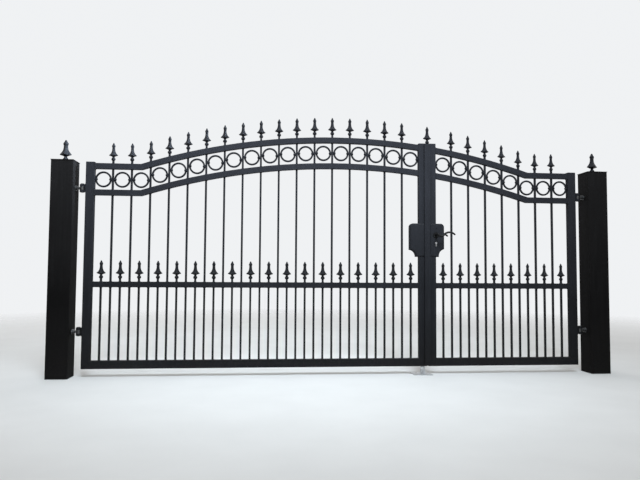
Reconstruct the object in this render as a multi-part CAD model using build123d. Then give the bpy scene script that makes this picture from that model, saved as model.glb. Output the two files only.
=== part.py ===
from build123d import *
import math
import os

os.makedirs("parts", exist_ok=True)

# Millimetres. X runs along the gate, Y into the drive, Z up from the ground.
# The origin is the middle of the left post's foot.

# Posts
opening_width = 3770.0
post_side = 150.0
post_wall = 5.0
post_height = 1515.0
cap_thickness = 5.0
cap_overhang = 3.0

# Leaf frames
ground_clearance = 60.0
hinge_gap = 71.0
meeting_gap = 10.0
stile_width = 60.0
frame_depth = 40.0
frame_wall = 3.0
rail_height = 40.0
bottom_rail_height = 56.0
middle_rail_base = 629.0
stile_rise = 9.0
meeting_stile_top = 1711.0

# Arched rails, all heights above the ground
flat_rail_top = 1508.0
flat_length = 320.0
upper_arch_rise = 230.0
lower_rail_drop = 188.0
lower_arch_rise = 226.0

# Bars
bar_side = 14.0
left_bays = 18
right_bays = 8
bar_hole_clearance = 0.3
bar_stub = 22.0

# Rings; the beads are given as distance from the bar and width
ring_boss_gap = 1.0
ring_stock = 12.0
ring_depth = 12.0
boss_profile = [(0.0, 17.0), (4.0, 23.5), (9.5, 23.5), (18.0, 11.0)]
boss_sides = 8

# Spears: height above the seat and half width across the ridges
spear_profile = [
    (0.0, 7.0),
    (5.0, 13.0),
    (15.0, 13.0),
    (22.0, 7.0),
    (26.0, 7.5),
    (35.0, 31.0),
    (39.0, 33.0),
    (47.0, 25.0),
    (58.0, 17.5),
    (72.0, 12.5),
    (94.0, 10.6),
    (106.0, 12.8),
    (117.0, 7.0),
    (128.0, 1.0),
]
post_spear_scale = 1.17
post_spear_girth = 1.28

# Cover strip over the meeting line
strip_width = 44.0
strip_thickness = 15.0
strip_reach = 13.0
strip_running_gap = 5.0
strip_base = 69.0
strip_top = 1706.0

# Lock cases
case_above_lever = 86.0
case_below_lever = 162.0
case_depth = 54.0
left_case_reach = 108.0
right_case_width = 104.0
case_corner = 27.0
case_bevel = 8.0
left_scoop = (46.0, 52.0)
right_scoop = (40.0, 58.0)

# Lever handle and cylinder
lever_setback = 62.0
lever_height = 1024.0
cylinder_drop = 60.0
rose_diameter = 42.0
rose_thickness = 5.0
lever_stock = 13.0
lever_neck = 16.0
lever_standoff = 65.0
lever_start_fall = 53.1
lever_dip_radius = 27.5
lever_rise = 49.4
lever_crest_radius = 55.5
lever_end_radius = 55.0
lever_end_fall = 50.0
spindle_side = 8.0
spindle_clearance = 0.2
lever_bore_clearance = 0.5
cylinder_barrel = 17.0
cylinder_web = 10.0
cylinder_height = 33.0
cylinder_proud = 8.0
cylinder_clearance = 0.3

# Hinges
hinge_heights = [318.0, 1328.0]
hinge_offset = 25.0
knuckle_diameter = 36.0
knuckle_height = 16.0
eye_diameter = 32.0
eye_height = 24.0
knuckle_gap = 0.5
pin_diameter = 16.0
pin_clearance = 0.5
pin_head_diameter = 24.0
pin_head_height = 4.0
stud_diameter = 20.0
stud_inside = 35.0
stud_hole_clearance = 0.3
nut_across_flats = 30.0
nut_thickness = 14.0
washer_diameter = 37.0
washer_thickness = 3.0
hinge_plate = 6.0
hinge_plate_width = 36.0
hinge_web = 16.0

# Ground stop
stop_plate_width = 140.0
stop_plate_depth = 125.0
stop_plate_thickness = 5.0
stop_socket_side = 30.0
stop_socket_wall = 3.0
stop_clearance = 6.0
stop_plate_shift = -8.0

# Places along the gate
left_post_face = post_side / 2
right_post_face = left_post_face + opening_width
right_post_x = right_post_face + post_side / 2
all_bays = left_bays + right_bays
all_bars = all_bays - 2
both_clear = opening_width - 2 * hinge_gap - meeting_gap - 4 * stile_width
bar_gap = (both_clear - all_bars * bar_side) / all_bays
bar_pitch = bar_gap + bar_side
left_leaf_start = left_post_face + hinge_gap
left_inner = left_leaf_start + stile_width
left_outer = left_inner + left_bays * bar_pitch - bar_side
left_leaf_end = left_outer + stile_width
right_leaf_start = left_leaf_end + meeting_gap
right_inner = right_leaf_start + stile_width
right_leaf_end = right_post_face - hinge_gap
right_outer = right_leaf_end - stile_width
meeting_line = left_leaf_end + meeting_gap / 2
bottom_rail_top = ground_clearance + bottom_rail_height
middle_rail_top = middle_rail_base + rail_height
arch_centre_x = (left_inner + right_outer) / 2
arch_half_chord = (right_outer - left_inner) / 2 - flat_length
upper_flat_top = flat_rail_top
lower_flat_top = flat_rail_top - lower_rail_drop
ring_diameter = bar_gap - 2 * ring_boss_gap
lever_x = meeting_line + lever_setback
case_top = lever_height + case_above_lever
case_base = lever_height - case_below_lever


def block(x0, x1, y0, y1, z0, z1):
    """A box between two opposite corners."""
    size = Box(x1 - x0, y1 - y0, z1 - z0)
    return Pos((x0 + x1) / 2, (y0 + y1) / 2, (z0 + z1) / 2) * size


def arch_radius(rise):
    return (arch_half_chord**2 + rise**2) / (2 * rise)


def curve_height(x, flat_top, rise, drop):
    """Height at x of the line that lies a given drop below an arched rail's top."""
    radius = arch_radius(rise)
    centre_z = flat_top + rise - radius
    flat = flat_top - drop
    inside = (radius - drop) ** 2 - (x - arch_centre_x) ** 2
    return max(flat, centre_z + math.sqrt(inside))


def kink_reach(flat_top, rise, drop):
    """Distance from the arch's middle to the kink of the line below its top."""
    radius = arch_radius(rise)
    centre_z = flat_top + rise - radius
    return math.sqrt((radius - drop) ** 2 - (flat_top - drop - centre_z) ** 2)


def arch_line(x0, x1, flat_top, rise, drop):
    """Edges from x0 to x1 along the flat and the arc, left to right."""
    reach = kink_reach(flat_top, rise, drop)
    corners = [x0]
    for kink in (arch_centre_x - reach, arch_centre_x + reach):
        if x0 < kink < x1:
            corners.append(kink)
    corners.append(x1)
    edges = []
    for a, b in zip(corners, corners[1:]):
        start = (a, curve_height(a, flat_top, rise, drop))
        end = (b, curve_height(b, flat_top, rise, drop))
        middle_x = (a + b) / 2
        if abs(middle_x - arch_centre_x) > reach:
            edges.append(Line(start, end))
        else:
            middle = (middle_x, curve_height(middle_x, flat_top, rise, drop))
            edges.append(ThreePointArc(start, middle, end))
    return edges


def arch_band(x0, x1, flat_top, rise, upper_drop, lower_drop, depth):
    """A plate that follows the arched rail between two depths below its top."""
    upper = arch_line(x0, x1, flat_top, rise, upper_drop)
    lower = arch_line(x0, x1, flat_top, rise, lower_drop)
    left_side = Line(upper[0] @ 0, lower[0] @ 0)
    right_side = Line(upper[-1] @ 1, lower[-1] @ 1)
    outline = Wire(upper + lower + [left_side, right_side])
    face = Plane.XZ * make_face(outline)
    return extrude(face, amount=depth / 2, both=True)


def bar_cutters(positions, z0, z1):
    """Square holes for the bars that pass through a rail."""
    side = bar_side / 2 + bar_hole_clearance
    return [block(x - side, x + side, -side, side, z0, z1) for x in positions]


def arched_rail(x0, x1, flat_top, rise, positions):
    """A bent box section with a hole for each long bar."""
    rail = arch_band(x0, x1, flat_top, rise, 0, rail_height, frame_depth)
    inside = frame_depth - 2 * frame_wall
    below_top = frame_wall
    above_base = rail_height - frame_wall
    rail -= arch_band(x0 - 1, x1 + 1, flat_top, rise, below_top, above_base, inside)
    rail -= bar_cutters(positions, lower_flat_top - 100, meeting_stile_top + 100)
    return rail


def straight_rail(x0, x1, base, height):
    """A straight box section along the leaf."""
    y = frame_depth / 2
    wall = frame_wall
    rail = block(x0, x1, -y, y, base, base + height)
    return rail - block(x0 - 1, x1 + 1, wall - y, y - wall, base + wall, base + height - wall)


def stile(x0, top):
    """An upright box section, closed at both ends."""
    y = frame_depth / 2
    wall = frame_wall
    outer = block(x0, x0 + stile_width, -y, y, ground_clearance, top)
    x1 = x0 + stile_width
    inner = block(x0 + wall, x1 - wall, wall - y, y - wall, ground_clearance + wall, top - wall)
    return outer - inner


def square_section(z, half_width):
    """A square seen corner on, at a height."""
    side = half_width * math.sqrt(2)
    return Pos(0, 0, z) * Rot(0, 0, 45) * Rectangle(side, side)


def spear(x, z, scale=1.0, girth=1.0, y=0.0):
    """A four-sided spear standing on z, its ridges to the front, back and sides."""
    sections = [square_section(h * scale, w * girth) for h, w in spear_profile]
    return Pos(x, y, z) * loft(sections, ruled=True)


def bar(x, top):
    half = bar_side / 2
    return block(x - half, x + half, -half, half, bottom_rail_top, top)


def ring(x):
    """A ring between two bars, held to each of them by a faceted bead."""
    ceiling = curve_height(x, upper_flat_top, upper_arch_rise, rail_height)
    floor = curve_height(x, lower_flat_top, lower_arch_rise, 0)
    outer = Cylinder(ring_diameter / 2, ring_depth)
    hole = Cylinder(ring_diameter / 2 - ring_stock, ring_depth + 2)
    hoop = Rot(90, 0, 0) * (outer - hole)
    turn = 180 / boss_sides
    sections = []
    for distance, size in boss_profile:
        polygon = RegularPolygon(size / 2, boss_sides, rotation=turn)
        sections.append(Pos(0, 0, distance) * polygon)
    boss = loft(sections, ruled=True)
    right_boss = Pos(bar_gap / 2, 0, 0) * Rot(0, -90, 0) * boss
    left_boss = Pos(-bar_gap / 2, 0, 0) * Rot(0, 90, 0) * boss
    return Pos(x, 0, (ceiling + floor) / 2) * (hoop + right_boss + left_boss)


def many(shapes):
    """Pieces of one kind that share a node."""
    return Compound(children=list(shapes))


def save(shape, name):
    export_step(shape, "parts/" + name + ".step")


# Posts with caps and spears
def post(x):
    half = post_side / 2
    inner = half - post_wall
    tube = block(x - half, x + half, -half, half, 0, post_height)
    tube -= block(x - inner, x + inner, -inner, inner, -1, post_height + 1)
    for height in hinge_heights:
        hole_radius = stud_diameter / 2 + stud_hole_clearance
        side = 1 if x < arch_centre_x else -1
        hole = Rot(0, 90, 0) * Cylinder(hole_radius, 4 * post_wall)
        tube -= Pos(x + side * half, 0, height) * hole
    return tube


def post_cap(x):
    half = post_side / 2 + cap_overhang
    return block(x - half, x + half, -half, half, post_height, post_height + cap_thickness)


post_places = [0.0, right_post_x]
cap_top = post_height + cap_thickness
save(post(post_places[0]), "left_post")
save(post(post_places[1]), "right_post")
save(many(post_cap(x) for x in post_places), "post_caps")
post_spears = [spear(x, cap_top, post_spear_scale, post_spear_girth) for x in post_places]
save(many(post_spears), "post_spears")


# Leaves
def leaf(side, x0, x1, bays, hinge_side_first):
    """Saves every piece that the two leaves have in common."""
    bay_places = [x0 + bar_gap / 2 + bar_pitch * i for i in range(bays)]
    long_places = [x + bar_pitch / 2 for x in bay_places[:-1]]
    if hinge_side_first:
        stiles = {"hinge": (x0 - stile_width, 0), "meeting": (x1, 1)}
    else:
        stiles = {"hinge": (x1, 0), "meeting": (x0 - stile_width, 1)}
    tops = [flat_rail_top + stile_rise, meeting_stile_top]
    for kind, (start, top) in stiles.items():
        save(stile(start, tops[top]), side + "_" + kind + "_stile")
    middle = straight_rail(x0, x1, middle_rail_base, rail_height)
    through = bar_cutters(long_places + bay_places, middle_rail_base - 1, middle_rail_top + 1)
    save(straight_rail(x0, x1, ground_clearance, bottom_rail_height), side + "_bottom_rail")
    save(middle - through, side + "_middle_rail")
    lower = arched_rail(x0, x1, lower_flat_top, lower_arch_rise, long_places)
    upper = arched_rail(x0, x1, upper_flat_top, upper_arch_rise, long_places)
    save(lower, side + "_lower_arch_rail")
    save(upper, side + "_upper_arch_rail")
    long_tops = []
    for x in long_places:
        rail_top = curve_height(x, upper_flat_top, upper_arch_rise, 0)
        long_tops.append(rail_top + bar_stub)
    short_top = middle_rail_top + bar_stub
    save(many(bar(x, top) for x, top in zip(long_places, long_tops)), side + "_long_bars")
    save(many(bar(x, short_top) for x in bay_places), side + "_short_bars")
    save(many(ring(x) for x in bay_places), side + "_rings")
    save(many(spear(x, top) for x, top in zip(long_places, long_tops)), side + "_top_spears")
    save(many(spear(x, short_top) for x in bay_places), side + "_middle_spears")


leaf("left", left_inner, left_outer, left_bays, True)
leaf("right", right_inner, right_outer, right_bays, False)


# Cover strip, fixed to the left leaf's meeting stile
strip_end = right_leaf_start + strip_reach
strip_start = strip_end - strip_width
strip_back = -frame_depth / 2 - strip_running_gap
strip_front = strip_back - strip_thickness
cover = block(strip_start, strip_end, strip_front, strip_back, strip_base, strip_top)
cover += block(strip_start, left_leaf_end, strip_back, -frame_depth / 2, strip_base, strip_top)
save(cover, "cover_strip")
strip_middle = (strip_start + strip_end) / 2
save(spear(strip_middle, strip_top, y=(strip_front + strip_back) / 2), "cover_strip_spear")


# Lock cases: round upper outer corner, scooped lower outer corner, bevelled rims
def case_outline(inner_x, outer_x, scoop):
    """Outline of a lock case, from the meeting line to its outer edge."""
    way = 1 if outer_x > inner_x else -1
    scoop_width, scoop_height = scoop
    top_start = (outer_x - way * case_corner, case_top)
    top_end = (outer_x, case_top - case_corner)
    slant = case_corner * (1 - math.sqrt(0.5))
    top_middle = (outer_x - way * slant, case_top - slant)
    scoop_start = (outer_x, case_base + scoop_height)
    scoop_end = (outer_x - way * scoop_width, case_base)
    bend_x = outer_x - way * scoop_width * math.sqrt(0.5)
    bend_z = case_base + scoop_height * math.sqrt(0.5)
    edges = [
        Line((inner_x, case_base), (inner_x, case_top)),
        Line((inner_x, case_top), top_start),
        ThreePointArc(top_start, top_middle, top_end),
        Line(top_end, scoop_start),
        ThreePointArc(scoop_start, (bend_x, bend_z), scoop_end),
        Line(scoop_end, (inner_x, case_base)),
    ]
    face = Plane.XZ * make_face(Wire(edges))
    case = extrude(face, amount=case_depth / 2, both=True)
    rim = []
    for edge in case.edges():
        centre = edge.center()
        on_face = abs(abs(centre.Y) - case_depth / 2) < 0.1
        at_meeting_side = abs(centre.X - inner_x) < 0.1
        if on_face and not at_meeting_side:
            rim.append(edge)
    return chamfer(rim, case_bevel)


def stile_space(x0):
    y = frame_depth / 2
    return block(x0, x0 + stile_width, -y, y, case_base - 1, case_top + 1)


def cylinder_profile(grow):
    """Section of a lock cylinder: a round barrel over a straight web."""
    barrel = Circle(cylinder_barrel / 2 + grow)
    web_height = cylinder_height - cylinder_barrel / 2 + grow
    web = Pos(0, -web_height / 2) * Rectangle(cylinder_web + 2 * grow, web_height)
    return barrel + web


def along_y(sketch, x, z, length):
    """A section seen from the front, extruded evenly to both sides of the gate."""
    return Pos(x, 0, z) * extrude(Plane.XZ * sketch, amount=length / 2, both=True)


left_case = case_outline(strip_start, strip_start - left_case_reach, left_scoop)
left_case -= stile_space(left_outer)
save(left_case, "left_lock_case")

right_case_start = strip_end + strip_running_gap
cylinder_z = lever_height - cylinder_drop
spindle_bore = spindle_side * math.sqrt(0.5) + lever_bore_clearance
right_case = case_outline(right_case_start, right_case_start + right_case_width, right_scoop)
right_case -= stile_space(right_leaf_start)
right_case -= along_y(Circle(spindle_bore), lever_x, lever_height, case_depth + 2)
right_case -= along_y(cylinder_profile(cylinder_clearance), lever_x, cylinder_z, case_depth + 2)
save(right_case, "right_lock_case")

cylinder_length = case_depth + 2 * cylinder_proud
save(along_y(cylinder_profile(0), lever_x, cylinder_z, cylinder_length), "lock_cylinder")

# The meeting stile is bored for the spindle and the cylinder
meeting = stile(right_leaf_start, meeting_stile_top)
meeting -= along_y(Circle(spindle_bore), lever_x, lever_height, case_depth + 2)
meeting -= along_y(cylinder_profile(cylinder_clearance), lever_x, cylinder_z, case_depth + 2)
save(meeting, "right_meeting_stile")

# Roses, levers and spindle
rose_bore = lever_neck / 2 + lever_bore_clearance
rose_sketch = Circle(rose_diameter / 2) - Circle(rose_bore)
case_face = case_depth / 2


def facing(side, shape):
    """Turns a piece of the street side to the drive side when side is 1."""
    return shape if side < 0 else mirror(shape, about=Plane.XZ)


def lever(side):
    """An S-shaped lever on its neck, drawn for the street side."""
    neck_start = case_face + 0.5
    neck_end = case_face + lever_standoff + lever_stock / 2
    neck = extrude(Plane.XZ * Circle(lever_neck / 2), amount=neck_end - neck_start)
    neck = Pos(0, -neck_start, 0) * neck
    fall = math.radians(lever_start_fall)
    start_way = (math.cos(fall), -math.sin(fall))
    dip = JernArc((0, 0), start_way, lever_dip_radius, lever_start_fall + lever_rise)
    crest = JernArc(dip @ 1, dip % 1, lever_crest_radius, -lever_rise)
    end = JernArc(crest @ 1, crest % 1, lever_end_radius, -lever_end_fall)
    wire = Plane.XZ * Wire([dip, crest, end])
    section = Plane(origin=wire @ 0, z_dir=wire % 0) * Circle(lever_stock / 2)
    grip = Pos(0, -case_face - lever_standoff, 0) * sweep(section, path=wire)
    shape = neck + grip
    square = Rectangle(spindle_side + 2 * spindle_clearance, spindle_side + 2 * spindle_clearance)
    socket = extrude(Plane.XZ * square, amount=neck_end - lever_stock, both=True)
    shape -= socket
    return Pos(lever_x, 0, lever_height) * facing(side, shape)


def rose(side):
    disc = Pos(0, -case_face, 0) * extrude(Plane.XZ * rose_sketch, amount=rose_thickness)
    return Pos(lever_x, 0, lever_height) * facing(side, disc)


save(many(rose(side) for side in (-1, 1)), "lever_roses")
save(lever(-1), "front_lever")
save(lever(1), "back_lever")
spindle_length = 2 * (case_face + lever_standoff + lever_stock / 2 - lever_stock)
spindle = along_y(Rectangle(spindle_side, spindle_side), lever_x, lever_height, spindle_length)
save(spindle, "lever_spindle")


# Hinges: drawn for the left post with the pin at the origin, mirrored for the right
def hinge_eye():
    """A threaded stud with its eye and the pin through it."""
    eye = Cylinder(eye_diameter / 2, eye_height)
    half_stack = eye_height / 2 + knuckle_gap + knuckle_height
    pin_bottom = -half_stack - 3
    pin_top = half_stack + knuckle_gap
    pin = Pos(0, 0, (pin_top + pin_bottom) / 2) * Cylinder(pin_diameter / 2, pin_top - pin_bottom)
    head_z = pin_top + pin_head_height / 2
    head = Pos(0, 0, head_z) * Cylinder(pin_head_diameter / 2, pin_head_height)
    pin_to_post = hinge_gap - hinge_offset
    stud_length = pin_to_post + stud_inside
    stud = Pos(-stud_length / 2, 0, 0) * Rot(0, 90, 0) * Cylinder(stud_diameter / 2, stud_length)
    return eye + pin + head + stud


def hinge_nut():
    """The washer against the post and the nut on the stud."""
    pin_to_post = hinge_gap - hinge_offset
    washer = extrude(Plane.YZ * Circle(washer_diameter / 2), washer_thickness)
    radius = nut_across_flats / math.sqrt(3)
    nut = extrude(Plane.YZ * RegularPolygon(radius, 6), nut_thickness)
    shape = washer + Pos(washer_thickness, 0, 0) * nut
    length = nut_thickness + washer_thickness
    bore = Rot(0, 90, 0) * Cylinder(stud_diameter / 2 + stud_hole_clearance, 4 * length)
    return Pos(-pin_to_post, 0, 0) * (shape - bore)


def hinge_knuckles():
    """Two knuckles with their webs on one plate against the stile."""
    half_stack = eye_height / 2 + knuckle_gap + knuckle_height
    y = hinge_plate_width / 2
    shape = block(hinge_offset - hinge_plate, hinge_offset, -y, y, -half_stack, half_stack)
    for side in (-1, 1):
        z = side * (eye_height / 2 + knuckle_gap + knuckle_height / 2)
        shape += Pos(0, 0, z) * Cylinder(knuckle_diameter / 2, knuckle_height)
        half = knuckle_height / 2
        shape += block(0, hinge_offset, -hinge_web / 2, hinge_web / 2, z - half, z + half)
    bore = Cylinder(pin_diameter / 2 + pin_clearance, 3 * half_stack)
    return shape - bore


def at_hinges(shape, pin_x, flipped):
    turned = mirror(shape, about=Plane.YZ) if flipped else shape
    return [Pos(pin_x, 0, z) * turned for z in hinge_heights]


left_pin_x = left_leaf_start - hinge_offset
right_pin_x = right_leaf_end + hinge_offset
both_eyes = at_hinges(hinge_eye(), left_pin_x, False) + at_hinges(hinge_eye(), right_pin_x, True)
both_nuts = at_hinges(hinge_nut(), left_pin_x, False) + at_hinges(hinge_nut(), right_pin_x, True)
save(many(both_eyes), "hinge_eyes")
save(many(both_nuts), "hinge_nuts")
save(many(at_hinges(hinge_knuckles(), left_pin_x, False)), "left_hinge_knuckles")
save(many(at_hinges(hinge_knuckles(), right_pin_x, True)), "right_hinge_knuckles")


# Ground stop under the left meeting stile
stop_x = left_outer + stile_width / 2
half_width = stop_plate_width / 2
half_depth = stop_plate_depth / 2
plate_x = stop_x + stop_plate_shift
plate = block(plate_x - half_width, plate_x + half_width, -half_depth, half_depth, 0, stop_plate_thickness)
save(plate, "ground_stop_plate")
half = stop_socket_side / 2
bore = half - stop_socket_wall
socket_top = ground_clearance - stop_clearance
socket = block(stop_x - half, stop_x + half, -half, half, stop_plate_thickness, socket_top)
socket -= block(stop_x - bore, stop_x + bore, -bore, bore, stop_plate_thickness - 1, socket_top + 1)
save(socket, "ground_stop_socket")
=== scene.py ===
import math
import bmesh
import bpy
from mathutils import Matrix, Vector


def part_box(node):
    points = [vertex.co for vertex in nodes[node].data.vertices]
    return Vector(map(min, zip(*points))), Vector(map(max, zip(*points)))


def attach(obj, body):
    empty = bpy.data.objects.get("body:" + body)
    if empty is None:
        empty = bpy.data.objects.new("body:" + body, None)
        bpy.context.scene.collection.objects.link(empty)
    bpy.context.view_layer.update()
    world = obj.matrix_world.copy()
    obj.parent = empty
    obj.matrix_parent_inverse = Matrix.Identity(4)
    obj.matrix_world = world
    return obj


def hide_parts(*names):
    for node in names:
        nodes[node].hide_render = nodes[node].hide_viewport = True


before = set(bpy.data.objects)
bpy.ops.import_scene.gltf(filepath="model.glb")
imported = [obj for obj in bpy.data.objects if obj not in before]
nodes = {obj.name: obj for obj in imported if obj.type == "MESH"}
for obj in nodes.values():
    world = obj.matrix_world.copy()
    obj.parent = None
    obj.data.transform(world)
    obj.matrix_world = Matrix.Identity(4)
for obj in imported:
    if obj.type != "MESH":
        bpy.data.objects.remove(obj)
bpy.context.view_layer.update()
print("frame loaded:", len(nodes), "nodes")

# Metres. X runs along the gate, Y into the drive, Z up from the ground.

barPitch = 0.131            # from bar to bar
barSide = 0.014
upWay = Vector((0, 0, 1))
mergeDistance = 0.00002     # doubles nearer than this are joined
placeSlack = 0.0005         # how far a point may lie off the place where it is looked for
sameLevel = 0.00001         # levels nearer than this count as one


# small helpers

def deselect():
    if bpy.context.mode != "OBJECT":
        bpy.ops.object.mode_set(mode="OBJECT")
    bpy.ops.object.select_all(action="DESELECT")


def workOn(piece):
    deselect()
    piece.select_set(True)
    bpy.context.view_layer.objects.active = piece


def editAll(piece):
    workOn(piece)
    bpy.ops.object.mode_set(mode="EDIT")
    bpy.ops.mesh.select_all(action="SELECT")


def endEdit():
    bpy.ops.object.mode_set(mode="OBJECT")


def pickFaces(piece, test):
    # edit mode: selects the faces whose middle and normal pass the test
    bpy.ops.mesh.select_mode(type="FACE")
    bpy.ops.mesh.select_all(action="DESELECT")
    shape = bmesh.from_edit_mesh(piece.data)
    for face in shape.faces:
        if test(face.calc_center_median(), face.normal):
            face.select_set(True)
    bmesh.update_edit_mesh(piece.data)


def pickPoints(piece, test):
    # edit mode: selects the points that pass the test
    bpy.ops.mesh.select_mode(type="VERT")
    bpy.ops.mesh.select_all(action="DESELECT")
    shape = bmesh.from_edit_mesh(piece.data)
    for point in shape.verts:
        if test(point.co):
            point.select_set(True)
    bmesh.update_edit_mesh(piece.data)


def pickEdges(piece, test):
    # edit mode: selects the edges whose two ends pass the test
    bpy.ops.mesh.select_mode(type="EDGE")
    bpy.ops.mesh.select_all(action="DESELECT")
    shape = bmesh.from_edit_mesh(piece.data)
    for edge in shape.edges:
        if test(edge.verts[0].co, edge.verts[1].co):
            edge.select_set(True)
    bmesh.update_edit_mesh(piece.data)


def tidyShell():
    # edit mode: closes doubles and turns every face outwards
    bpy.ops.mesh.select_all(action="SELECT")
    bpy.ops.mesh.remove_doubles(threshold=mergeDistance)
    bpy.ops.mesh.normals_make_consistent(inside=False)


def addDisc(points, radius, place, facing):
    # a filled circle turned to face a way, ready for drawOut
    deselect()
    turn = upWay.rotation_difference(Vector(facing)).to_euler()
    bpy.ops.mesh.primitive_circle_add(
        vertices=points, radius=radius, fill_type="NGON", location=place, rotation=turn)
    disc = bpy.context.object
    bpy.ops.object.transform_apply(location=True, rotation=True, scale=True)
    return disc


def drawOut(start, way, stations):
    # edit mode: draws the picked face out through stations of (distance, radius)
    for (distance, size), (nextDistance, nextSize) in zip(stations, stations[1:]):
        step = Vector(way) * (nextDistance - distance)
        bpy.ops.mesh.extrude_region_move(TRANSFORM_OT_translate={"value": step})
        middle = Vector(start) + Vector(way) * nextDistance
        ratio = nextSize / size
        bpy.ops.transform.resize(value=(ratio, ratio, ratio), center_override=middle)


def turned(name, points, start, way, stations):
    # a round piece drawn out from a disc, closed at both ends
    first = Vector(start) + Vector(way) * stations[0][0]
    piece = addDisc(points, stations[0][1], first, way)
    editAll(piece)
    drawOut(start, way, stations)
    tidyShell()
    endEdit()
    piece.name = name
    return piece


def bevelNow(piece, width, segments, angle):
    workOn(piece)
    bevel = piece.modifiers.new("softEdges", "BEVEL")
    bevel.width = width
    bevel.segments = segments
    bevel.limit_method = "ANGLE"
    bevel.angle_limit = math.radians(angle)
    bpy.ops.object.modifier_apply(modifier=bevel.name)


def smooth(piece, angle):
    workOn(piece)
    bpy.ops.object.shade_smooth_by_angle(angle=math.radians(angle))


def copyTo(master, place, scale=(1, 1, 1), turn=(0, 0, 0)):
    # a copy with its own mesh
    workOn(master)
    bpy.ops.object.duplicate(linked=False)
    copy = bpy.context.object
    copy.location = place
    copy.scale = scale
    copy.rotation_euler = turn
    bpy.ops.object.transform_apply(location=True, rotation=True, scale=True)
    return copy


def joinAll(pieces, name):
    deselect()
    for piece in pieces:
        piece.select_set(True)
    bpy.context.view_layer.objects.active = pieces[0]
    if len(pieces) > 1:
        bpy.ops.object.join()
    joined = bpy.context.object
    joined.name = name
    joined.data.name = name
    return joined


def discard(piece):
    workOn(piece)
    bpy.ops.object.delete()


def finishPiece(piece, body, material, replaced=()):
    piece.data.materials.clear()
    piece.data.materials.append(material)
    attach(piece, body)
    for node in replaced:
        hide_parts(node)


# reading places from the frame

holeSet = {
    "side": 0.0146,     # of the square holes in the rails
    "reach": 0.009,     # how far from its middle a hole's points are looked for
}


def solidsOf(name, axis, step):
    # boxes of the solids that share a node and repeat at a step along an axis
    spots = [point.co for point in nodes[name].data.vertices]
    start = min(spot[axis] for spot in spots) - placeSlack
    groups = {}
    for spot in spots:
        groups.setdefault(int((spot[axis] - start) // step), []).append(spot)
    boxes = []
    for key in sorted(groups):
        low = Vector(min(spot[i] for spot in groups[key]) for i in range(3))
        high = Vector(max(spot[i] for spot in groups[key]) for i in range(3))
        boxes.append((low, high))
    return boxes


def holeFaces(rail, x):
    # height and slope of a rail's top and underside round the hole at x
    reach = holeSet["reach"]
    spots = [point.co for point in nodes[rail].data.vertices]
    near = [spot for spot in spots if abs(spot.x - x) < reach and abs(spot.y) < reach]
    left = [spot.z for spot in near if spot.x < x]
    right = [spot.z for spot in near if spot.x > x]
    faces = []
    for leftZ, rightZ in ((max(left), max(right)), (min(left), min(right))):
        faces.append(((leftZ + rightZ) / 2, math.atan2(rightZ - leftZ, holeSet["side"])))
    return faces


def endHeights(rail, x):
    # lowest and highest point of a rail where it meets a stile
    spots = [point.co for point in nodes[rail].data.vertices]
    heights = [spot.z for spot in spots if abs(spot.x - x) < placeSlack]
    return min(heights), max(heights)


# camera

cameraSet = {
    "place": (1.3823, -4.4314, 0.7342),
    "right": 5.581,     # degrees to the right of straight on
    "up": 3.152,
    "roll": 0.336,
    "focalPixels": 608.48,
    "imageWidth": 640,
    "sensorWidth": 36,
    "reach": 200,
}

bpy.ops.object.camera_add(location=cameraSet["place"])
camera = bpy.context.object
camera.name = "photoCamera"
turnRight = Matrix.Rotation(-math.radians(cameraSet["right"]), 3, "Z")
tiltUp = Matrix.Rotation(math.radians(90 + cameraSet["up"]), 3, "X")
rollRight = Matrix.Rotation(math.radians(cameraSet["roll"]), 3, "Z")
camera.rotation_euler = (turnRight @ tiltUp @ rollRight).to_euler()
camera.data.sensor_width = cameraSet["sensorWidth"]
camera.data.lens = cameraSet["focalPixels"] / cameraSet["imageWidth"] * cameraSet["sensorWidth"]
camera.data.clip_end = cameraSet["reach"]
bpy.context.scene.camera = camera
print("camera placed")


# materials

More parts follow.
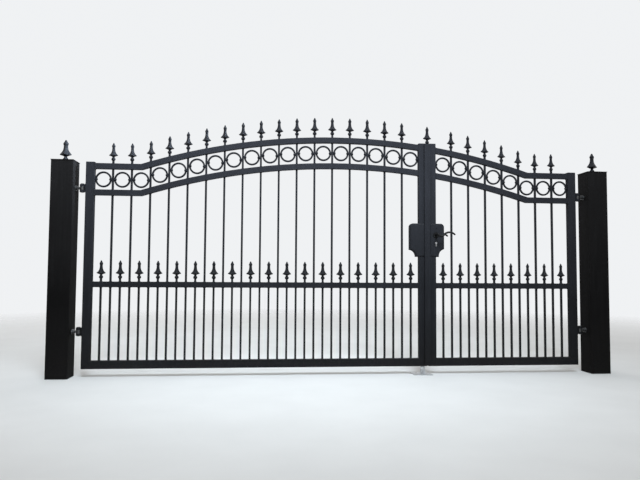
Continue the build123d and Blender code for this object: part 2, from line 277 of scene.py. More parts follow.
class Finish:
    # a material with short ways to add and join nodes

    def __init__(self, name):
        self.material = bpy.data.materials.new(name)
        self.material.use_nodes = True
        self.tree = self.material.node_tree
        self.shader = self.tree.nodes["Principled BSDF"]
        self.place = self.add("ShaderNodeTexCoord").outputs["Object"]

    def add(self, kind, **values):
        node = self.tree.nodes.new(kind)
        for key, value in values.items():
            setattr(node, key, value)
        return node

    def join(self, output, entry):
        self.tree.links.new(output, entry)

    def stretched(self, scale):
        mapping = self.add("ShaderNodeMapping")
        mapping.inputs["Scale"].default_value = scale
        self.join(self.place, mapping.inputs["Vector"])
        return mapping.outputs["Vector"]

    def noise(self, scale, detail, vector=None):
        node = self.add("ShaderNodeTexNoise")
        node.inputs["Scale"].default_value = scale
        node.inputs["Detail"].default_value = detail
        self.join(vector or self.place, node.inputs["Vector"])
        return node.outputs["Fac"]

    def cells(self, scale, feature="F1"):
        node = self.add("ShaderNodeTexVoronoi", feature=feature)
        node.inputs["Scale"].default_value = scale
        self.join(self.place, node.inputs["Vector"])
        return node

    def spread(self, value, low, high, newLow=0.0, newHigh=1.0):
        node = self.add("ShaderNodeMapRange")
        self.join(value, node.inputs["Value"])
        node.inputs["From Min"].default_value = low
        node.inputs["From Max"].default_value = high
        node.inputs["To Min"].default_value = newLow
        node.inputs["To Max"].default_value = newHigh
        return node.outputs["Result"]

    def math(self, operation, a, b):
        node = self.add("ShaderNodeMath", operation=operation)
        for entry, value in zip(node.inputs, (a, b)):
            if isinstance(value, (int, float)):
                entry.default_value = value
            else:
                self.join(value, entry)
        return node.outputs["Value"]

    def blend(self, share, a, b):
        node = self.add("ShaderNodeMix", data_type="RGBA")
        self.join(share, node.inputs["Factor"])
        for socket, value in zip([s for s in node.inputs if s.type == "RGBA"], (a, b)):
            if isinstance(value, tuple):
                socket.default_value = (*value, 1)
            else:
                self.join(value, socket)
        return [s for s in node.outputs if s.type == "RGBA"][0]

    def bump(self, height, strength, distance):
        node = self.add("ShaderNodeBump")
        node.inputs["Strength"].default_value = strength
        node.inputs["Distance"].default_value = distance
        self.join(height, node.inputs["Height"])
        self.join(node.outputs["Normal"], self.shader.inputs["Normal"])

    def facingUp(self):
        geometry = self.add("ShaderNodeNewGeometry")
        split = self.add("ShaderNodeSeparateXYZ")
        self.join(geometry.outputs["Normal"], split.inputs["Vector"])
        return split.outputs["Z"]

    def height(self):
        split = self.add("ShaderNodeSeparateXYZ")
        self.join(self.place, split.inputs["Vector"])
        return split.outputs["Z"]


# the pale tones are the colour of a painted sky sheen towards the top, which the rain marks also reach
paintSet = {
    "frame": {
        "tone": (0.0110, 0.0116, 0.0132), "skySheenAndRainTone": (0.0375, 0.0388, 0.0465),
        "dustShare": 0.40, "grain": 1.0, "gloss": 0.07, "rough": (0.72, 0.84),
    },
    "castings": {
        "tone": (0.0088, 0.0093, 0.0106), "skySheenAndRainTone": (0.0180, 0.0192, 0.0238),
        "dustShare": 0.14, "grain": 1.8, "gloss": 0.13, "rough": (0.50, 0.62),
    },
    # posts: the gate's anthracite coat painted darker, as painted shade
    "posts": {
        "tone": (0.0040, 0.0037, 0.0037), "skySheenAndRainTone": (0.0195, 0.0185, 0.0190),
        "dustShare": 0.35, "grain": 1.0, "gloss": 0.045, "rough": (0.72, 0.84),
    },
    "dust": (0.100, 0.093, 0.083),
    # painted shade colour near the ground
    "lowShade": (0.0078, 0.0074, 0.0074),
    "splash": (0.050, 0.044, 0.037),
    "skySheenHeights": (0.55, 1.60),   # painted sky sheen: the coat gets paler and bluer from the first to the second
    "lowShadeAndSplashHeights": (0.60, 0.05),    # painted shade darkens it, and splashed specks gather, from the first down to the second
    "rainScale": (70, 70, 3.2),     # narrow upright streaks
    "rainShare": 0.45,
    "lowShadeShare": 0.6,
    "splashShare": 0.30,
    "dirtRoughness": 0.35,
    "bumpStrength": 0.35,
    "bumpDepth": 0.0004,
}


def makePaint(name, kind):
    # fine-grained powder coat: a painted sky sheen makes it paler and bluer towards the top, dusty on top
    # faces, with rain marks, painted shade darkening it near the ground and splashed specks there
    look = paintSet[kind]
    paint = Finish(name)
    cloud = paint.noise(2.6, 5)
    rain = paint.noise(1.0, 5, paint.stretched(paintSet["rainScale"]))
    marks = paint.math("MULTIPLY", paint.spread(cloud, 0.35, 0.7), paint.spread(rain, 0.3, 0.75))
    # painted sky sheen: paler and bluer towards the top; the rain marks add to it
    paintedSkySheen = paint.spread(paint.height(), *paintSet["skySheenHeights"], 0.05, 0.75)
    pale = paint.math("ADD", paintedSkySheen, paint.math("MULTIPLY", marks, paintSet["rainShare"]))
    coat = paint.blend(pale, look["tone"], look["skySheenAndRainTone"])
    top = paint.spread(paint.facingUp(), 0.55, 0.95)
    dustCloud = paint.spread(paint.noise(38, 6), 0.35, 0.7, 0.25, 1.0)
    dust = paint.math("MULTIPLY", paint.math("MULTIPLY", top, dustCloud), look["dustShare"])
    # one height mask for painted shade near the ground and for the splashed specks
    low = paint.spread(paint.height(), *paintSet["lowShadeAndSplashHeights"])
    specks = paint.math("MULTIPLY", paint.spread(paint.noise(120, 5), 0.50, 0.75), paintSet["splashShare"])
    splash = paint.math("MULTIPLY", paint.math("MULTIPLY", low, low), specks)
    # painted shade: the coat darkens towards the ground
    coat = paint.blend(paint.math("MULTIPLY", low, paintSet["lowShadeShare"]), coat, paintSet["lowShade"])
    coat = paint.blend(dust, coat, paintSet["dust"])
    coat = paint.blend(splash, coat, paintSet["splash"])
    paint.join(coat, paint.shader.inputs["Base Color"])
    fine = paint.noise(1500, 2)
    peel = paint.noise(230, 3)
    dirt = paint.math("MULTIPLY", paint.math("ADD", dust, splash), paintSet["dirtRoughness"])
    rough = paint.math("ADD", paint.spread(peel, 0.3, 0.7, *look["rough"]), dirt)
    paint.join(rough, paint.shader.inputs["Roughness"])
    paint.shader.inputs["Specular IOR Level"].default_value = look["gloss"]
    relief = paint.math("ADD", paint.math("MULTIPLY", fine, 0.7), paint.math("MULTIPLY", peel, 0.5))
    paint.bump(relief, paintSet["bumpStrength"] * look["grain"], paintSet["bumpDepth"])
    return paint.material


powderCoat = makePaint("anthracitePowderCoat", "frame")
castCoat = makePaint("anthraciteOverCastIron", "castings")
# the posts' coat is the same paint made darker, as painted shade
postCoatPaintedDarker = makePaint("anthraciteCoatPaintedDarker", "posts")

zincSet = {
    "groundStop": {
        "dull": (0.34, 0.345, 0.355), "bright": (0.62, 0.63, 0.64), "spangle": 95, "rough": (0.36, 0.58),
    },
    "fittings": {
        "dull": (0.038, 0.038, 0.039), "bright": (0.135, 0.137, 0.140), "spangle": 320, "rough": (0.28, 0.48),
    },
    "metal": 0.85,
    "grime": (0.07, 0.062, 0.052),
    "grimeShare": 0.55,
    "grimeTop": 0.05,
    "bumpStrength": 0.2,
    "bumpDepth": 0.0003,
}


def makeZinc(name, kind):
    # zinc with crystals, dulled in patches and grimy at the ground
    look = zincSet[kind]
    zinc = Finish(name)
    crystal = zinc.cells(look["spangle"])
    split = zinc.add("ShaderNodeSeparateColor")
    zinc.join(crystal.outputs["Color"], split.inputs["Color"])
    patches = zinc.spread(zinc.noise(14, 5), 0.35, 0.65)
    crystals = zinc.spread(split.outputs["Red"], 0, 1, 0.35, 1.0)
    share = zinc.math("MULTIPLY", crystals, zinc.spread(patches, 0, 1, 0.55, 1.0))
    colour = zinc.blend(share, look["dull"], look["bright"])
    low = zinc.spread(zinc.height(), zincSet["grimeTop"], 0.0)
    grime = zinc.math("MULTIPLY", low, zinc.spread(zinc.noise(90, 5), 0.4, 0.65))
    colour = zinc.blend(zinc.math("MULTIPLY", grime, zincSet["grimeShare"]), colour, zincSet["grime"])
    zinc.join(colour, zinc.shader.inputs["Base Color"])
    zinc.shader.inputs["Metallic"].default_value = zincSet["metal"]
    zinc.join(zinc.spread(split.outputs["Green"], 0, 1, *look["rough"]), zinc.shader.inputs["Roughness"])
    zinc.bump(zinc.noise(420, 3), zincSet["bumpStrength"], zincSet["bumpDepth"])
    return zinc.material


galvanised = makeZinc("hotDipZinc", "groundStop")
dullZinc = makeZinc("weatheredZincPlate", "fittings")

ironSet = {
    "tone": (0.0050, 0.0050, 0.0056),
    "rubbedTone": (0.0130, 0.0126, 0.0130),
    "gloss": 0.16,
    "rough": (0.40, 0.55),
    "hammerScale": 105,
    "bumpStrength": 0.55,
    "bumpDepth": 0.0012,
}


def makeBlackIron(name):
    # hammered iron under black wax paint, rubbed paler where hands touch it
    iron = Finish(name)
    hammer = iron.cells(ironSet["hammerScale"], "SMOOTH_F1")
    worn = iron.spread(iron.noise(60, 5), 0.52, 0.75)
    colour = iron.blend(worn, ironSet["tone"], ironSet["rubbedTone"])
    iron.join(colour, iron.shader.inputs["Base Color"])
    iron.shader.inputs["Specular IOR Level"].default_value = ironSet["gloss"]
    iron.join(iron.spread(iron.noise(140, 3), 0.3, 0.7, *ironSet["rough"]), iron.shader.inputs["Roughness"])
    relief = iron.math("ADD", hammer.outputs["Distance"], iron.math("MULTIPLY", iron.noise(900, 2), 0.12))
    iron.bump(relief, ironSet["bumpStrength"], ironSet["bumpDepth"])
    return iron.material


blackIron = makeBlackIron("hammeredBlackIron")

nickelSet = {
    "barrel": {"pale": (0.26, 0.265, 0.27), "stained": (0.15, 0.15, 0.155)},
    "plug": {"pale": (0.52, 0.53, 0.54), "stained": (0.34, 0.34, 0.35)},
    "rough": (0.24, 0.38),
    "brushScale": (2600, 90, 2600),
    "bumpStrength": 0.12,
    "bumpDepth": 0.0002,
}


def makeNickel(name, kind):
    # satin nickel, brushed along the barrel
    look = nickelSet[kind]
    nickel = Finish(name)
    lines = nickel.noise(1.0, 4, nickel.stretched(nickelSet["brushScale"]))
    stain = nickel.spread(nickel.noise(160, 4), 0.45, 0.7)
    colour = nickel.blend(stain, look["pale"], look["stained"])
    nickel.join(colour, nickel.shader.inputs["Base Color"])
    nickel.shader.inputs["Metallic"].default_value = 1.0
    nickel.join(nickel.spread(lines, 0.3, 0.7, *nickelSet["rough"]), nickel.shader.inputs["Roughness"])
    nickel.bump(lines, nickelSet["bumpStrength"], nickelSet["bumpDepth"])
    return nickel.material


barrelNickel = makeNickel("satinNickel", "barrel")
plugNickel = makeNickel("rubbedNickel", "plug")
print("materials made")


# finishes and soft edges of the carried-over pieces

edgeSet = {
    "sharpAngle": 32,       # degrees; edges sharper than this are rounded
    "flatAngle": 0.4,       # faces nearer to flat than this become one
    "joinDistance": 0.00001,
    "segments": 2,
}
edgeWidths = {
    "left_post": 0.0024, "right_post": 0.0024, "post_caps": 0.0012,
    "left_hinge_stile": 0.0022, "left_meeting_stile": 0.0022,
    "right_hinge_stile": 0.0022, "right_meeting_stile": 0.0022,
    "left_bottom_rail": 0.0020, "right_bottom_rail": 0.0020,
    "left_middle_rail": 0.0014, "right_middle_rail": 0.0014,
    "left_lower_arch_rail": 0.0014, "right_lower_arch_rail": 0.0014,
    "left_upper_arch_rail": 0.0014, "right_upper_arch_rail": 0.0014,
    "left_long_bars": 0.0008, "right_long_bars": 0.0008,
    "left_short_bars": 0.0008, "right_short_bars": 0.0008,
    "cover_strip": 0.0018, "left_lock_case": 0.0014, "right_lock_case": 0.0014,
    "left_hinge_knuckles": 0.0011, "right_hinge_knuckles": 0.0011,
    "hinge_eyes": 0.0010, "hinge_nuts": 0.0009, "lever_roses": 0.0012,
    "lock_cylinder": 0.0005, "ground_stop_plate": 0.0010, "ground_stop_socket": 0.0010,
}
looseFaces = ("hinge_eyes", "ground_stop_socket")   # their flat faces aren't joined
otherFinishes = {
    "left_post": postCoatPaintedDarker, "right_post": postCoatPaintedDarker, "post_caps": postCoatPaintedDarker,
    "left_long_bars": castCoat, "right_long_bars": castCoat,
    "left_short_bars": castCoat, "right_short_bars": castCoat,
    "hinge_eyes": dullZinc, "hinge_nuts": dullZinc,
    "ground_stop_plate": galvanised, "ground_stop_socket": galvanised,
    "lever_roses": blackIron, "lever_spindle": blackIron,
    "front_lever": blackIron, "back_lever": blackIron,
    "lock_cylinder": barrelNickel,
}


def softenEdges(node, width, wholeFaces):
    faces = node.modifiers.new("joinFaces", "WELD")
    faces.merge_threshold = edgeSet["joinDistance"]
    if wholeFaces:
        flat = node.modifiers.new("wholeFaces", "DECIMATE")
        flat.decimate_type = "DISSOLVE"
        flat.angle_limit = math.radians(edgeSet["flatAngle"])
    bevel = node.modifiers.new("softEdges", "BEVEL")
    bevel.width = width
    bevel.segments = edgeSet["segments"]
    bevel.limit_method = "ANGLE"
    bevel.angle_limit = math.radians(edgeSet["sharpAngle"])
    node.modifiers.new("evenShade", "WEIGHTED_NORMAL")


for name, node in nodes.items():
    node.data.materials.clear()
    node.data.materials.append(otherFinishes.get(name, powderCoat))
    if name in edgeWidths:
        softenEdges(node, edgeWidths[name], name not in looseFaces)
print("carried-over pieces finished")


# spears

spearSet = {
    "height": 0.128,
    "width": 0.066,
    "sides": 8,
    "levels": [
        # height, reach of the ridges, reach of the facets as a share
        (0.0, 9.8, 0.95), (2.5, 12.6, 0.96), (6, 14.4, 0.96), (10.5, 15.0, 0.96),
        (15, 14.0, 0.95), (19, 10.9, 0.93), (22.5, 8.5, 0.90), (25, 8.4, 0.88),
        (28, 9.7, 0.80), (31.5, 17.3, 0.71), (35, 28.2, 0.64), (37.2, 31.7, 0.62),
        (39.8, 32.0, 0.61), (44, 27.0, 0.62), (49.5, 21.5, 0.63), (56, 17.4, 0.64),
        (64, 14.0, 0.65), (73, 11.7, 0.67), (84, 10.6, 0.70), (94, 10.3, 0.76),
        (99, 11.7, 0.82), (105, 13.1, 0.86), (110.5, 10.9, 0.86), (116.5, 7.7, 0.87),
        (122, 5.3, 0.90), (126, 3.9, 0.92), (128, 2.3, 0.95),
    ],
    "levelSlack": 0.0002,   # how far off its level a point may lie
    "diagonalBand": 0.3,    # width of the band round the diagonals, as a share of the reach
    "edge": 0.0007,
    "edgeAngle": 38,        # degrees, as all angles here
    "shadeAngle": 50,
    "postSwell": 1.18,      # the post spears are stouter above the flare
    "flareTop": 38,         # from here up they get stouter
    "swellOver": 12,        # over this height
}


def onDiagonal(spot, z, reach):
    # a level's points between the ridges
    offDiagonal = abs(abs(spot.x) - abs(spot.y))
    return abs(spot.z - z) < spearSet["levelSlack"] and offDiagonal < spearSet["diagonalBand"] * reach


def makeSpear(name, fullSwell):
    levels = []
    for z, reach, share in spearSet["levels"]:
        swell = 1 + (fullSwell - 1) * min(1, max(0, (z - spearSet["flareTop"]) / spearSet["swellOver"]))
        levels.append((z / 1000, reach * swell / 1000, share))
    stations = [(z, reach) for z, reach, share in levels]
    spear = turned(name, spearSet["sides"], (0, 0, 0), upWay, stations)
    editAll(spear)
    for z, reach, share in levels:
        # the points between the ridges come inwards, which hollows the facets
        pickPoints(spear, lambda spot: onDiagonal(spot, z, reach))
        bpy.ops.transform.resize(value=(share, share, 1), center_override=(0, 0, z))
    endEdit()
    bevelNow(spear, spearSet["edge"], 1, spearSet["edgeAngle"])
    smooth(spear, spearSet["shadeAngle"])
    return spear


barSpear = makeSpear("barSpear", 1)
postSpear = makeSpear("postSpear", spearSet["postSwell"])
spearRows = {
    # node: body, step from spear to spear, pattern
    "left_top_spears": ("left_leaf", barPitch, barSpear),
    "left_middle_spears": ("left_leaf", barPitch, barSpear),
    "right_top_spears": ("right_leaf", barPitch, barSpear),
    "right_middle_spears": ("right_leaf", barPitch, barSpear),
    "cover_strip_spear": ("left_leaf", 1.0, barSpear),
    "post_spears": ("posts", 3.0, postSpear),
}
for name, (body, step, pattern) in spearRows.items():
    copies = []
    for low, high in solidsOf(name, 0, step):
        girth = (high.x - low.x) / spearSet["width"]
        size = (high.z - low.z) / spearSet["height"]
        place = ((low.x + high.x) / 2, (low.y + high.y) / 2, low.z)
        copies.append(copyTo(pattern, place, (girth, girth, size)))
    finishPiece(joinAll(copies, name + "_forged"), body, castCoat, [name])
discard(barSpear)
discard(postSpear)
print("spears made")


# rings with their beads

ringSet = {
    "radius": 0.0510,       # to the middle of the stock
    "stockWide": 0.013,
    "stockDeep": 0.012,
    "rounding": 0.0030,
    "steps": 40,
    # distance from the bar, radius of the bead, in mm
    "beadStations": [(0, 9.0), (1.2, 10.8), (3.8, 12.3), (7.0, 12.6), (11.0, 11.8), (15.0, 9.0), (18.4, 5.2)],
    "beadSides": 14,
    "shadeAngle": 50,
}


def makeRing():
    deselect()
    bpy.ops.mesh.primitive_plane_add(size=1, location=(ringSet["radius"], 0, 0))
    ring = bpy.context.object
    ring.scale = (ringSet["stockWide"], ringSet["stockDeep"], 1)
    bpy.ops.object.transform_apply(location=True, rotation=True, scale=True)
    editAll(ring)
    bpy.ops.mesh.bevel(offset=ringSet["rounding"], segments=2, affect="VERTICES")
    bpy.ops.mesh.delete(type="ONLY_FACE")
    bpy.ops.mesh.select_all(action="SELECT")
    bpy.ops.mesh.spin(steps=ringSet["steps"], angle=2 * math.pi, center=(0, 0, 0), axis=(0, 1, 0))
    tidyShell()
    endEdit()
    smooth(ring, ringSet["shadeAngle"])
    stations = [(distance / 1000, radius / 1000) for distance, radius in ringSet["beadStations"]]
    halfBay = (barPitch - barSide) / 2
    leftBead = turned("leftBead", ringSet["beadSides"], (-halfBay, 0, 0), (1, 0, 0), stations)
    rightBead = turned("rightBead", ringSet["beadSides"], (halfBay, 0, 0), (-1, 0, 0), stations)
    smooth(leftBead, ringSet["shadeAngle"])
    smooth(rightBead, ringSet["shadeAngle"])
    return joinAll([ring, leftBead, rightBead], "ringPattern")


ringPattern = makeRing()
for side in ("left", "right"):
    name = side + "_rings"
    copies = [copyTo(ringPattern, (low + high) / 2) for low, high in solidsOf(name, 0, barPitch)]
    finishPiece(joinAll(copies, name + "_beaded"), side + "_leaf", castCoat, [name])
discard(ringPattern)
print("rings made")


# weld beads

weldSet = {
    # legs: what a bead covers of the face it stands on, past the box's width and past its depth
    "bar": {"legs": (0.0034, 0.0034), "rise": 0.0034, "cuts": 2, "seed": 5},
    "rail": {"legs": (0.003, 0.0006), "rise": 0.0032, "cuts": 5, "seed": 11},
    "bottomRail": {"legs": (0.0007, 0.0006), "rise": 0.0032, "cuts": 5, "seed": 11},
    "plate": {"legs": (0.003, 0.0018), "rise": 0.003, "cuts": 5, "seed": 17},
    "barInside": 0.0138,        # just inside the bar's faces
    "railDepth": 0.040,
    "belly": (0.62, 0.72),      # the bead's middle as a share of its legs and of its rise
    "ripple": 0.00035,
    "shadeAngle": 60,
}


def makeBead(kind, wide, deep):
    # a fillet weld round an upright box, its foot at height 0
    weld = weldSet[kind]
    deselect()
    bpy.ops.mesh.primitive_plane_add(size=1, location=(0, 0, 0))
    bead = bpy.context.object
    bead.name = kind + "Bead"
    bead.scale = (wide, deep, 1)
    bpy.ops.object.transform_apply(location=True, rotation=True, scale=True)
    editAll(bead)
    bpy.ops.mesh.delete(type="ONLY_FACE")
    bpy.ops.mesh.select_all(action="SELECT")
    bpy.ops.mesh.subdivide(number_cuts=weld["cuts"])
    legWide, legDeep = weld["legs"]
    bellyOut, bellyUp = weldSet["belly"]
    width, depth, height = wide, deep, 0
    for out, level in ((0, weld["rise"]), (bellyOut, bellyUp * weld["rise"]), (1, 0)):
        bpy.ops.mesh.extrude_edges_move(TRANSFORM_OT_translate={"value": (0, 0, level - height)})
        newWidth = wide + 2 * legWide * out
        newDepth = deep + 2 * legDeep * out
        ratios = (newWidth / width, newDepth / depth, 1)
        bpy.ops.transform.resize(value=ratios, center_override=(0, 0, level))
        width, depth, height = newWidth, newDepth, level
    pickEdges(bead, lambda a, b: abs(a.z) < sameLevel and abs(b.z) < sameLevel)
    bpy.ops.mesh.bridge_edge_loops()
    pickPoints(bead, lambda spot: spot.z > sameLevel)
    bpy.ops.transform.vertex_random(offset=weldSet["ripple"], seed=weld["seed"])
    tidyShell()
    endEdit()
    smooth(bead, weldSet["shadeAngle"])
    return bead


def weldBars(side):
    # beads at the bars' feet and over and under every rail that a bar passes through
    bead = makeBead("bar", weldSet["barInside"], weldSet["barInside"])
    copies = []
    for row in ("long_bars", "short_bars"):
        for low, high in solidsOf(side + "_" + row, 0, barPitch):
            x = (low.x + high.x) / 2
            copies.append(copyTo(bead, (x, 0, low.z)))
            rails = ["middle_rail"]
            if row == "long_bars":
                rails += ["lower_arch_rail", "upper_arch_rail"]
            for rail in rails:
                for (z, slope), flip in zip(holeFaces(side + "_" + rail, x), (0, math.pi)):
                    stretch = 1 / math.cos(slope)
                    copies.append(copyTo(bead, (x, 0, z), (stretch, 1, 1), (flip, -slope, 0)))
    discard(bead)
    finishPiece(joinAll(copies, side + "BarWelds"), side + "_leaf", castCoat)


def weldRails(side, leftEnd, rightEnd):
    copies = []
    for rail in ("bottom_rail", "middle_rail", "lower_arch_rail", "upper_arch_rail"):
        kind = "bottomRail" if rail == "bottom_rail" else "rail"
        for x, way in ((leftEnd, 1), (rightEnd, -1)):
            low, high = endHeights(side + "_" + rail, x)
            bead = makeBead(kind, high - low, weldSet["railDepth"])
            copies.append(copyTo(bead, (x, 0, (low + high) / 2), (1, 1, 1), (0, way * math.pi / 2, 0)))
            discard(bead)
    finishPiece(joinAll(copies, side + "RailWelds"), side + "_leaf", castCoat)


hingeStep = 1.0     # parts the lower hinges from the upper ones


def weldPlates(side, way):
    # beads that hold the knuckles' back plates to the hinge stile
    copies = []
    for low, high in solidsOf(side + "_hinge_knuckles", 2, hingeStep):
        x = high.x if side == "left" else low.x
        bead = makeBead("plate", high.z - low.z, high.y - low.y)
        copies.append(copyTo(bead, (x, 0, (low.z + high.z) / 2), (1, 1, 1), (0, way * math.pi / 2, 0)))
        discard(bead)
    finishPiece(joinAll(copies, side + "HingeWelds"), side + "_leaf", castCoat)


for side in ("left", "right"):
    low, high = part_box(side + "_bottom_rail")
    weldBars(side)
    weldRails(side, low.x, high.x)
print("weld beads made")


# hinges: threads of the studs and the welds of the knuckles' back plates

threadSet = {
    "turns": 5,
    "pitch": 0.0025,
    "crest": 0.0104,
    "root": 0.0092,
    # along one pitch: where the thread leaves the root, reaches and leaves the crest, and is down again
    "flanks": [(0.0004, "root"), (0.0011, "crest"), (0.0015, "crest"), (0.0022, "root")],
    "start": 0.017,         # from the outer face of the nuts
    "buried": 0.002,
    "sides": 24,
    "shadeAngle": 25,
}


def makeThreads():
    stations = [(-threadSet["buried"], threadSet["root"])]
    for turn in range(threadSet["turns"]):
        for distance, level in threadSet["flanks"]:
            stations.append((turn * threadSet["pitch"] + distance, threadSet[level]))
    copies = []
    for low, high in solidsOf("hinge_nuts", 2, hingeStep):
        z = (low.z + high.z) / 2
        for x, way in ((low.x + threadSet["start"], 1), (high.x - threadSet["start"], -1)):
            thread = turned("thread", threadSet["sides"], (x, 0, z), (way, 0, 0), stations)
            smooth(thread, threadSet["shadeAngle"])
            copies.append(thread)
    finishPiece(joinAll(copies, "hingeThreads"), "posts", dullZinc)


makeThreads()
weldPlates("left", -1)
weldPlates("right", 1)
print("hinges dressed")


# lever handles

leverSet = {
    "bends": [(0.0275, 102.5), (0.0555, -49.4), (0.0550, -50.0)],   # radius, turn in degrees
    "startFall": -53.1,
    "stepDegrees": 8.0,
    "sides": 12,
    "setback": 0.0898,      # of the grip's centre line from the gate's middle plane
    # share of the way along the grip: half thickness in mm
    "girth": [(0.0, 7.6), (0.12, 8.5), (0.30, 7.7), (0.60, 7.0), (0.85, 6.4), (0.94, 6.9), (1.0, 4.8)],
    "neckStart": 0.0275,    # from the gate's middle plane
    "neckSides": 20,
    # distance from there: radius, both in mm
    "neck": [
        (0, 8.9), (2.5, 9.2), (5, 8.6), (9, 7.2), (30, 6.4),
        (50, 6.8), (59, 8.4), (65, 8.9), (69, 6.9), (71, 3.2),
    ],
    "edge": 0.0012,
    "edgeSegments": 2,
    "edgeAngle": 60,
    "shadeAngle": 50,
}


def girthAt(share):
    marks = leverSet["girth"]
    for (a, wide), (b, nextWide) in zip(marks, marks[1:]):
        if share <= b:
            return (wide + (nextWide - wide) * (share - a) / (b - a)) / 1000
    return marks[-1][1] / 1000


def gripSpots():
    # centre line of the grip as (x, z, heading)
    spots = [(0.0, 0.0, math.radians(leverSet["startFall"]))]
    for radius, turn in leverSet["bends"]:
        steps = max(2, round(abs(turn) / leverSet["stepDegrees"]))
        bend = math.radians(turn) / steps
        chord = 2 * radius * math.sin(abs(bend) / 2)
        for _ in range(steps):
            x, z, heading = spots[-1]
            way = heading + bend / 2
            spots.append((x + chord * math.cos(way), z + chord * math.sin(way), heading + bend))
    return spots


def makeLever(side):
    # side is -1 towards the street and 1 towards the drive
    low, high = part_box("lever_spindle")
    centre = (low + high) / 2
    neckPlace = (centre.x, side * leverSet["neckStart"], centre.z)
    neckStations = [(distance / 1000, radius / 1000) for distance, radius in leverSet["neck"]]
    neck = turned("leverNeck", leverSet["neckSides"], neckPlace, (0, side, 0), neckStations)
    spots = gripSpots()
    lengths = [0.0]
    for a, b in zip(spots, spots[1:]):
        lengths.append(lengths[-1] + math.hypot(b[0] - a[0], b[1] - a[1]))
    girths = [girthAt(length / lengths[-1]) for length in lengths]
    heading = spots[0][2]
    origin = Vector((centre.x, side * leverSet["setback"], centre.z))
    grip = addDisc(leverSet["sides"], girths[0], origin, (math.cos(heading), 0, math.sin(heading)))
    editAll(grip)
    for i in range(1, len(spots)):
        step = Vector((spots[i][0] - spots[i - 1][0], 0, spots[i][1] - spots[i - 1][1]))
        bpy.ops.mesh.extrude_region_move(TRANSFORM_OT_translate={"value": step})
        middle = origin + Vector((spots[i][0], 0, spots[i][1]))
        ratio = girths[i] / girths[i - 1]
        bpy.ops.transform.resize(value=(ratio, ratio, ratio), center_override=middle)
        bend = spots[i][2] - spots[i - 1][2]
        bpy.ops.transform.rotate(value=bend, orient_axis="Y", center_override=middle)
    tidyShell()
    endEdit()
    for piece in (neck, grip):
        bevelNow(piece, leverSet["edge"], leverSet["edgeSegments"], leverSet["edgeAngle"])
        smooth(piece, leverSet["shadeAngle"])
    return [neck, grip]


forgedLevers = joinAll(makeLever(-1) + makeLever(1), "forgedLevers")
finishPiece(forgedLevers, "lever", blackIron, ["front_lever", "back_lever"])
print("levers made")


# lock: cylinder plugs and case screws

lockSet = {
    "plugRadius": 0.0064,
    "plugDrop": 0.0085,     # below the cylinder's top
    "plugProud": 0.0007,
    "plugEdge": 0.0003,
    "plugSunk": 0.003,
    "plugSides": 24,
    "rim": 0.0015,
    "keyWide": 0.0023,
    "keyTall": 0.0094,
    "keyDeep": 0.004,
    "shadeAngle": 30,
}


def pickOuter(piece, outer):
    # edit mode: selects the face that closes a turned piece at outer along Y
    pickFaces(piece, lambda middle, normal: abs(middle.y - outer) < sameLevel and abs(normal.y) > 0.9)


def makePlug(side):
    # the turning plug with its keyway; the inner face is squeezed to the keyway and pushed in
    low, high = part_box("lock_cylinder")
    face = low.y if side < 0 else high.y
    centre = ((low.x + high.x) / 2, face, high.z - lockSet["plugDrop"])
    radius, proud, edge = lockSet["plugRadius"], lockSet["plugProud"], lockSet["plugEdge"]
    stations = [(-lockSet["plugSunk"], radius), (proud - edge, radius), (proud, radius - edge)]
    plug = turned("plug", lockSet["plugSides"], centre, (0, side, 0), stations)
    editAll(plug)
    outer = face + side * proud
    pickOuter(plug, outer)
    bpy.ops.mesh.inset(thickness=lockSet["rim"], depth=0)
    inner = 2 * (radius - edge - lockSet["rim"])
    ratios = (lockSet["keyWide"] / inner, 1, lockSet["keyTall"] / inner)
    bpy.ops.transform.resize(value=ratios, center_override=(centre[0], outer, centre[2]))
    inwards = (0, -side * lockSet["keyDeep"], 0)
    bpy.ops.mesh.extrude_region_move(TRANSFORM_OT_translate={"value": inwards})
    tidyShell()
    endEdit()
    smooth(plug, lockSet["shadeAngle"])
    return plug


plugs = [makePlug(-1), makePlug(1)]
finishPiece(joinAll(plugs, "cylinderPlugs"), "right_leaf", plugNickel)

screwSet = {
    "spots": [(0.006, 0.050), (0.012, -0.124)],   # from the spindle, along and up
    "radius": 0.0042,
    # distance from the case: share of the radius
    "profile": [(-0.002, 1.0), (0.0006, 1.0), (0.0014, 0.86), (0.0018, 0.62)],
    "sides": 18,
    "rim": 0.0006,
    "socketDeep": 0.0016,
    "shadeAngle": 35,
}


def makeScrew(place, side):
    # a low domed head with a socket
    stations = [(distance, screwSet["radius"] * share) for distance, share in screwSet["profile"]]
    screw = turned("screw", screwSet["sides"], place, (0, side, 0), stations)
    editAll(screw)
    pickOuter(screw, place[1] + side * stations[-1][0])
    bpy.ops.mesh.inset(thickness=screwSet["rim"], depth=0)
    inwards = (0, -side * screwSet["socketDeep"], 0)
    bpy.ops.mesh.extrude_region_move(TRANSFORM_OT_translate={"value": inwards})
    tidyShell()
    endEdit()
    smooth(screw, screwSet["shadeAngle"])
    return screw


caseLow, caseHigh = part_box("right_lock_case")
spindleLow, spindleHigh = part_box("lever_spindle")
spindleX = (spindleLow.x + spindleHigh.x) / 2
spindleZ = (spindleLow.z + spindleHigh.z) / 2
screws = []
for side, face in ((-1, caseLow.y), (1, caseHigh.y)):
    for along, up in screwSet["spots"]:
        screws.append(makeScrew((spindleX + along, face, spindleZ + up), side))
finishPiece(joinAll(screws, "caseScrews"), "right_leaf", blackIron)
print("lock dressed")


# floor, background and light

stageSet = {
    "floor": (0.71, 0.71, 0.70),
    "paleFloor": (0.74, 0.74, 0.73),
    "floorSide": 60,
    "centre": (1.96, 0.0),
    "fade": (3.4, 8.5),     # distances from the centre between which the floor melts into the background
    "background": (0.87, 0.885, 0.90),
    "floorRough": 0.9,
    "floorGloss": 0.1,
    "softLight": (1.0, 0.99, 0.98),
    "softStrength": 0.18,
}


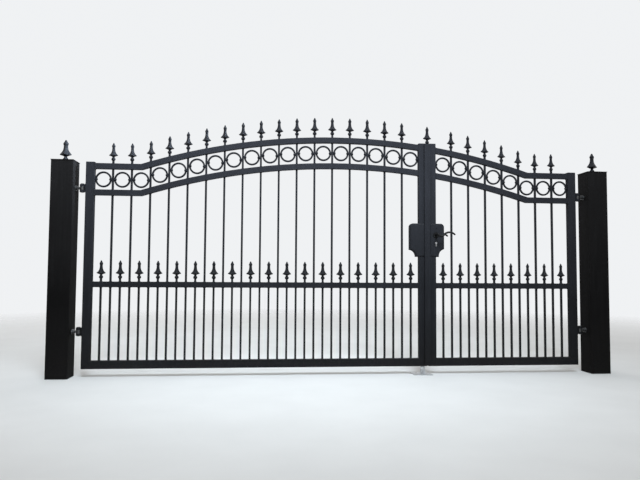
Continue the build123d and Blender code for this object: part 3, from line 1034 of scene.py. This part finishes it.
def makeFloor():
    deselect()
    bpy.ops.mesh.primitive_plane_add(size=1, location=(0, 0, 0))
    floor = bpy.context.object
    floor.name = "studioFloor"
    floor.scale = (stageSet["floorSide"], stageSet["floorSide"], 1)
    bpy.ops.object.transform_apply(location=True, rotation=True, scale=True)
    finish = Finish("paleFloor")
    centred = finish.add("ShaderNodeMapping")
    centred.inputs["Location"].default_value = (-stageSet["centre"][0], -stageSet["centre"][1], 0)
    finish.join(finish.place, centred.inputs["Vector"])
    length = finish.add("ShaderNodeVectorMath", operation="LENGTH")
    finish.join(centred.outputs["Vector"], length.inputs[0])
    patches = finish.spread(finish.noise(3, 4), 0.3, 0.7)
    colour = finish.blend(patches, stageSet["floor"], stageSet["paleFloor"])
    finish.join(colour, finish.shader.inputs["Base Color"])
    finish.shader.inputs["Roughness"].default_value = stageSet["floorRough"]
    finish.shader.inputs["Specular IOR Level"].default_value = stageSet["floorGloss"]
    away = finish.spread(length.outputs["Value"], *stageSet["fade"])
    clear = finish.add("ShaderNodeBsdfTransparent")
    mix = finish.add("ShaderNodeMixShader")
    finish.join(away, mix.inputs["Fac"])
    finish.join(finish.shader.outputs["BSDF"], mix.inputs[1])
    finish.join(clear.outputs["BSDF"], mix.inputs[2])
    finish.join(mix.outputs["Shader"], finish.tree.nodes["Material Output"].inputs["Surface"])
    floor.data.materials.append(finish.material)


def makeWorld():
    # a soft light all round; the camera, metal and glass see the pale background instead
    world = bpy.data.worlds.new("paleStudio")
    bpy.context.scene.world = world
    world.use_nodes = True
    tree = world.node_tree
    soft = tree.nodes["Background"]
    soft.inputs["Color"].default_value = (*stageSet["softLight"], 1)
    soft.inputs["Strength"].default_value = stageSet["softStrength"]
    seen = tree.nodes.new("ShaderNodeBackground")
    seen.inputs["Color"].default_value = (*stageSet["background"], 1)
    seen.inputs["Strength"].default_value = 1.0
    path = tree.nodes.new("ShaderNodeLightPath")
    sight = path.outputs["Is Camera Ray"]
    for ray in ("Is Glossy Ray", "Is Transmission Ray"):
        either = tree.nodes.new("ShaderNodeMath")
        either.operation = "MAXIMUM"
        tree.links.new(sight, either.inputs[0])
        tree.links.new(path.outputs[ray], either.inputs[1])
        sight = either.outputs["Value"]
    mixer = tree.nodes.new("ShaderNodeMixShader")
    tree.links.new(sight, mixer.inputs["Fac"])
    tree.links.new(soft.outputs["Background"], mixer.inputs[1])
    tree.links.new(seen.outputs["Background"], mixer.inputs[2])
    tree.links.new(mixer.outputs["Shader"], tree.nodes["World Output"].inputs["Surface"])


makeFloor()
makeWorld()

lampSet = {
    # size in metres, spread in degrees, power in watts
    "keyLamp": {
        "place": (2.0, -4.3, 5.6), "aim": (1.7, 0.0, 1.3), "size": 2.6, "spread": 56,
        "power": 67, "colour": (0.80, 0.91, 1.0),
    },
    "sideLamp": {
        "place": (4.6, -0.45, 3.7), "aim": (0.07, 0.0, 2.0), "size": 0.7, "spread": 19,
        "power": 15, "colour": (0.72, 0.86, 1.0),
    },
    "backLamp": {
        "place": (0.5, 5.5, 5.5), "aim": (1.96, 0.0, 0.9), "size": 5.0, "spread": 180,
        "power": 65, "colour": (1.0, 1.0, 1.0),
    },
}
for name, look in lampSet.items():
    bpy.ops.object.light_add(type="AREA", location=look["place"])
    lamp = bpy.context.object
    lamp.name = name
    lamp.data.size = look["size"]
    lamp.data.spread = math.radians(look["spread"])
    lamp.data.energy = look["power"]
    lamp.data.color = look["colour"]
    aimWay = Vector(look["aim"]) - Vector(look["place"])
    lamp.rotation_euler = aimWay.to_track_quat("-Z", "Y").to_euler()

topLampSet = {"place": (1.96, 0, 8), "strength": 1.35, "angle": 70}     # an even light from above
bpy.ops.object.light_add(type="SUN", location=topLampSet["place"])
topLamp = bpy.context.object
topLamp.name = "topLamp"
topLamp.data.energy = topLampSet["strength"]
topLamp.data.angle = math.radians(topLampSet["angle"])
bpy.context.scene.view_settings.view_transform = "Standard"
print("stage set")
